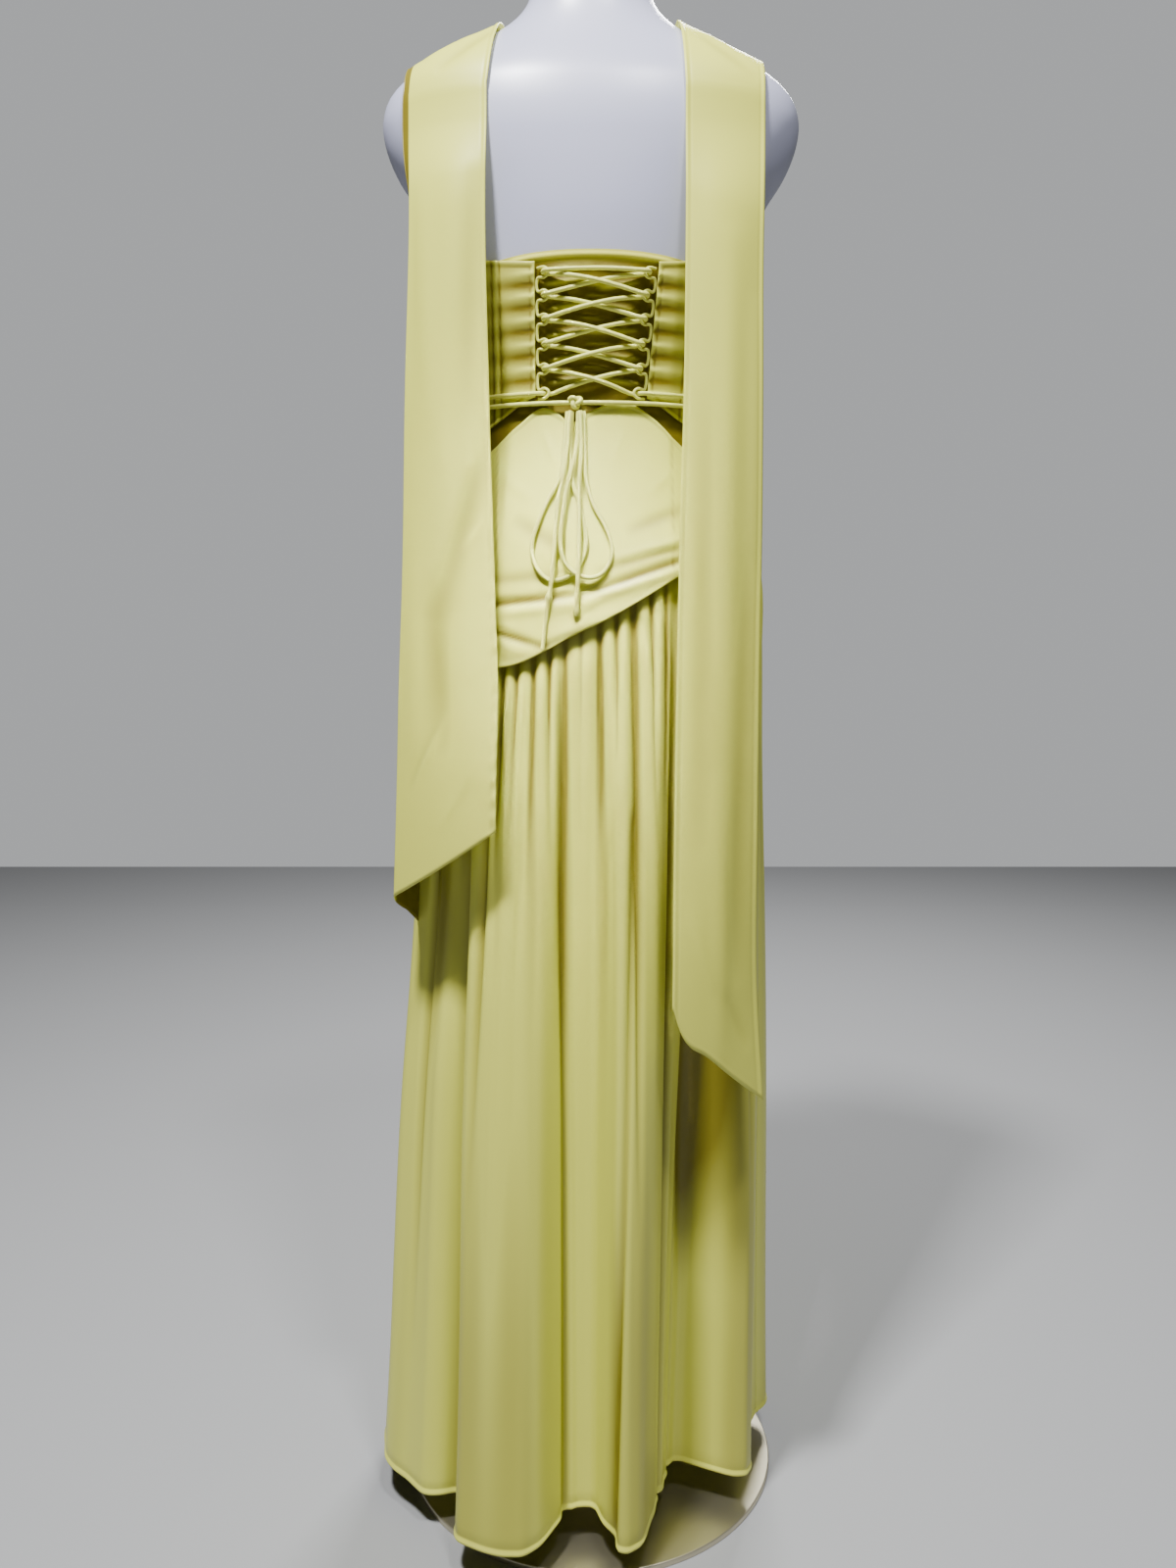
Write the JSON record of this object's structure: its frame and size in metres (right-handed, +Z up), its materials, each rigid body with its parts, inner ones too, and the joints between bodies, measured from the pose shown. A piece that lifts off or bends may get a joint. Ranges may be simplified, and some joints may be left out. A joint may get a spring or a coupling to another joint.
{
  "type": "asymmetric lace-up maxi gown on a limbless dress form with a round base",
  "caption": "Strapless maxi gown with laced back, slanting dropped waist, gathered skirt and matching scarf, on a limbless dress form.",
  "frame": {"origin": "on the floor under the pole's axis, at the middle of the base plate's underside", "axes": "+Z up; the laced back of the gown faces -Y and its front +Y; +X is the side where the dropped waist is high"},
  "size_m": [0.4147, 0.4113, 1.5],
  "materials": {
    "crepe": "butter yellow satin-backed crepe, soft sheen",
    "underlay_crepe": "the same crepe, scrunched behind the lacing",
    "rouleau": "turned tube of the same crepe",
    "form_lacquer": "smooth white lacquer, faintly cool",
    "polished_steel": "mirror polished plate, pole and cap"
  },
  "bodies": {
    "root": {"base_plate": "polished_steel", "pole_socket": "polished_steel", "form_pole": "polished_steel", "dress_form": "form_lacquer", "neck_cap": "polished_steel", "modesty_panel": "underlay_crepe", "corset_back_left": "crepe", "corset_back_right": "crepe", "bodice_front": "crepe", "basque_back": "crepe", "basque_front": "crepe", "skirt_back": "crepe", "skirt_front": "crepe", "scarf_tail_left": "crepe", "scarf_tail_right": "crepe", "scarf_front": "crepe", "lace_loops_left": "rouleau", "lace_loops_right": "rouleau", "lacing": "rouleau", "waist_cord_left": "rouleau", "waist_cord_right": "rouleau", "lace_knot": "rouleau", "bow_loop_left": "rouleau", "bow_loop_right": "rouleau", "lace_end_left": "rouleau", "lace_end_right": "rouleau"}
  },
  "joints": []
}
